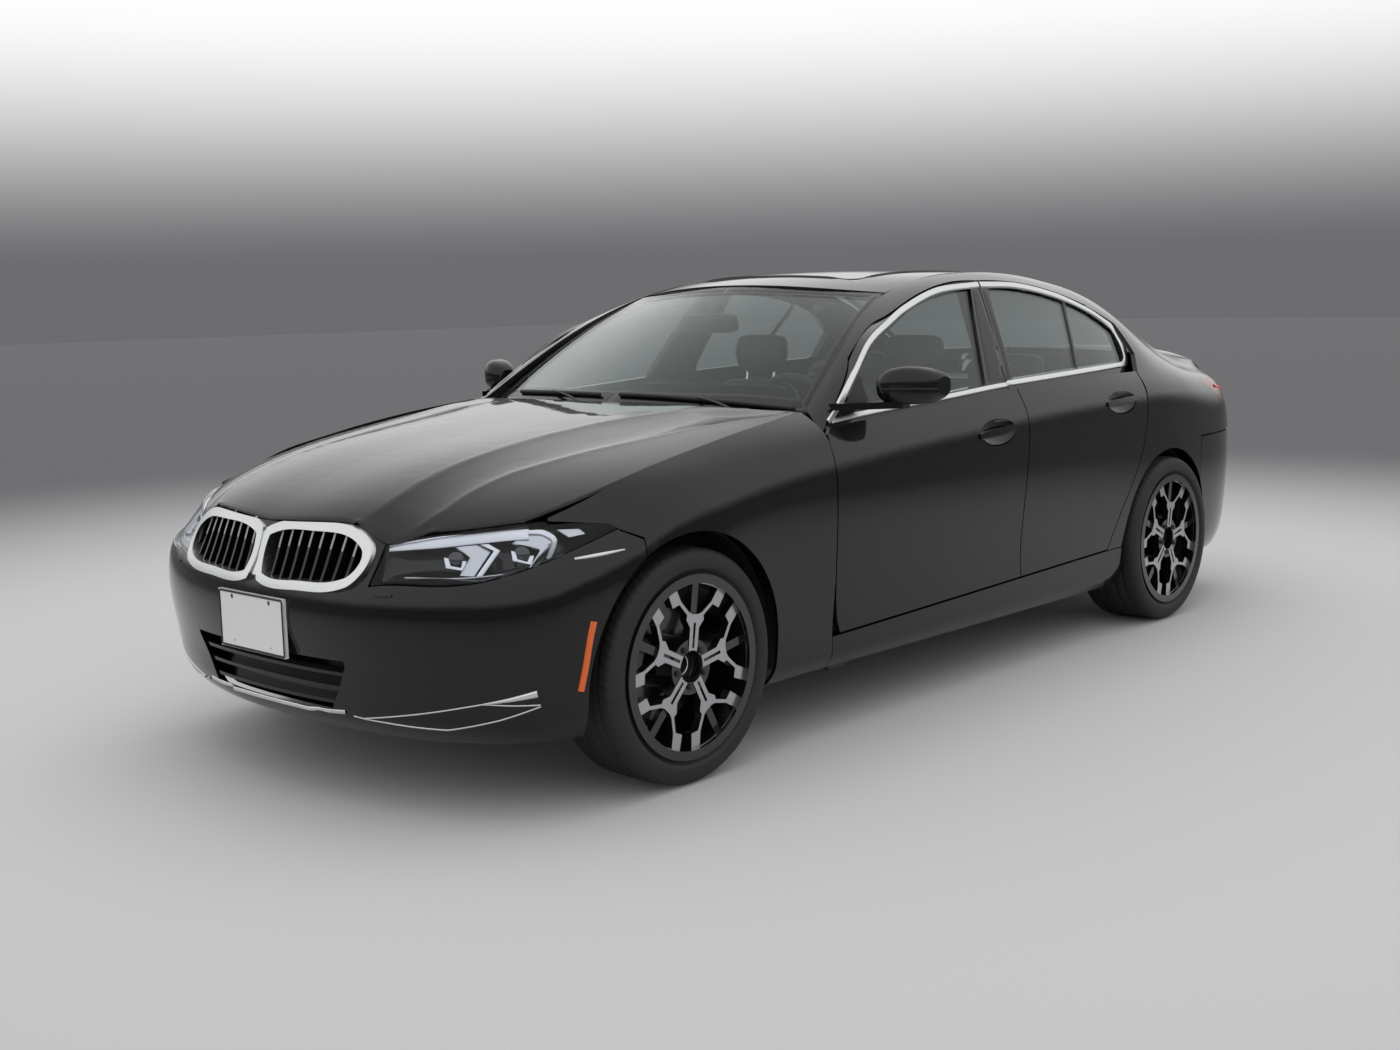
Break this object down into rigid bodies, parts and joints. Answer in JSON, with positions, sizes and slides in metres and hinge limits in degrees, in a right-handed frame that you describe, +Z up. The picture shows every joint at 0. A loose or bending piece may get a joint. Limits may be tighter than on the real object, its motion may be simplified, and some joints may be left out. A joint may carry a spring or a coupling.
{
  "type": "four-door sedan car",
  "caption": "Black four-door sedan car with twin front grille openings, hinged doors, hood and trunk lid, steered front wheels and free-turning road wheels.",
  "frame": {"origin": "on the ground under the middle of the length and width", "axes": "+X to the front, +Y to the car's left, +Z up"},
  "size_m": [4.72, 2.068, 1.4239],
  "materials": {
    "body_paint": "gloss",
    "black_trim": "gloss",
    "dark_plastic": "matte",
    "satin_chrome": "satin",
    "window_glass": "gloss",
    "lamp_clear": "gloss",
    "lamp_red": "gloss",
    "rim_alloy": "satin",
    "tyre_rubber": "matte",
    "chassis_steel": "satin",
    "cast_metal": "matte",
    "seat_cover": "satin",
    "plate_white": "satin"
  },
  "bodies": {
    "root": {"fenders": "body_paint", "quarter_panels": "body_paint", "roof_rails": "body_paint", "roof_panel": "body_paint", "body_glass": "window_glass", "front_bumper": "body_paint", "headlamps": "lamp_clear", "grille_frames": "satin_chrome", "grille_bars": "black_trim", "rear_bumper": "body_paint", "tail_lamps": "lamp_red", "side_frames": "body_paint", "floor_pan": "chassis_steel", "firewall": "chassis_steel", "rear_floor": "chassis_steel", "wheelhouses": "dark_plastic", "front_frame": "chassis_steel", "engine_block": "cast_metal", "subframes": "chassis_steel", "dashboard": "dark_plastic", "seats": "seat_cover", "exhaust": "chassis_steel", "front_plate": "plate_white"},
    "hood": {"hood": "body_paint"},
    "trunk_lid": {"trunk_lid": "body_paint", "lid_lamps": "lamp_red"},
    "knuckle_left": {"knuckle_left": "cast_metal"},
    "knuckle_right": {"knuckle_right": "cast_metal"},
    "wheel_front_left": {"tyre_front_left": "tyre_rubber", "rim_front_left": "rim_alloy"},
    "wheel_front_right": {"tyre_front_right": "tyre_rubber", "rim_front_right": "rim_alloy"},
    "wheel_rear_left": {"tyre_rear_left": "tyre_rubber", "rim_rear_left": "rim_alloy"},
    "wheel_rear_right": {"tyre_rear_right": "tyre_rubber", "rim_rear_right": "rim_alloy"},
    "door_front_left": {"front_door_left": "body_paint", "front_glass_left": "window_glass", "mirror_left": "black_trim"},
    "door_rear_left": {"rear_door_left": "body_paint", "rear_glass_left": "window_glass"},
    "door_front_right": {"front_door_right": "body_paint", "front_glass_right": "window_glass", "mirror_right": "black_trim"},
    "door_rear_right": {"rear_door_right": "body_paint", "rear_glass_right": "window_glass"}
  },
  "joints": [
    {"name": "steer_left", "type": "hinge", "parent": "root", "child": "knuckle_left", "pos_m": [1.551, 0.725, 0.331], "axis": [0, 0, 1], "range_deg": [-33, 33]},
    {"name": "steer_right", "type": "hinge", "parent": "root", "child": "knuckle_right", "pos_m": [1.551, -0.725, 0.331], "axis": [0, 0, 1], "range_deg": [-33, 33]},
    {"name": "wheel_front_left_spin", "type": "hinge", "parent": "knuckle_left", "child": "wheel_front_left", "pos_m": [1.551, 0.793, 0.331], "axis": [0, 1, 0], "continuous": true},
    {"name": "wheel_front_right_spin", "type": "hinge", "parent": "knuckle_right", "child": "wheel_front_right", "pos_m": [1.551, -0.793, 0.331], "axis": [0, 1, 0], "continuous": true},
    {"name": "wheel_rear_left_spin", "type": "hinge", "parent": "root", "child": "wheel_rear_left", "pos_m": [-1.3, 0.798, 0.331], "axis": [0, 1, 0], "continuous": true},
    {"name": "wheel_rear_right_spin", "type": "hinge", "parent": "root", "child": "wheel_rear_right", "pos_m": [-1.3, -0.798, 0.331], "axis": [0, 1, 0], "continuous": true},
    {"name": "front_door_left_hinge", "type": "hinge", "parent": "root", "child": "door_front_left", "pos_m": [0.9003, 0.9065, 0.6], "axis": [0, 0, -1], "range_deg": [0, 65]},
    {"name": "rear_door_left_hinge", "type": "hinge", "parent": "root", "child": "door_rear_left", "pos_m": [-0.1725, 0.9115, 0.6], "axis": [0, 0, -1], "range_deg": [0, 65]},
    {"name": "front_door_right_hinge", "type": "hinge", "parent": "root", "child": "door_front_right", "pos_m": [0.9003, -0.9065, 0.6], "axis": [0, 0, 1], "range_deg": [0, 65]},
    {"name": "rear_door_right_hinge", "type": "hinge", "parent": "root", "child": "door_rear_right", "pos_m": [-0.1725, -0.9115, 0.6], "axis": [0, 0, 1], "range_deg": [0, 65]},
    {"name": "hood_hinge", "type": "hinge", "parent": "root", "child": "hood", "pos_m": [0.8865, 0, 1.003], "axis": [0, -1, 0], "range_deg": [0, 55]},
    {"name": "trunk_hinge", "type": "hinge", "parent": "root", "child": "trunk_lid", "pos_m": [-1.6505, 0, 1.0845], "axis": [0, 1, 0], "range_deg": [0, 80]}
  ],
  "couplings": [
    {"joint": "steer_right", "follows": "steer_left", "ratio": 1}
  ]
}
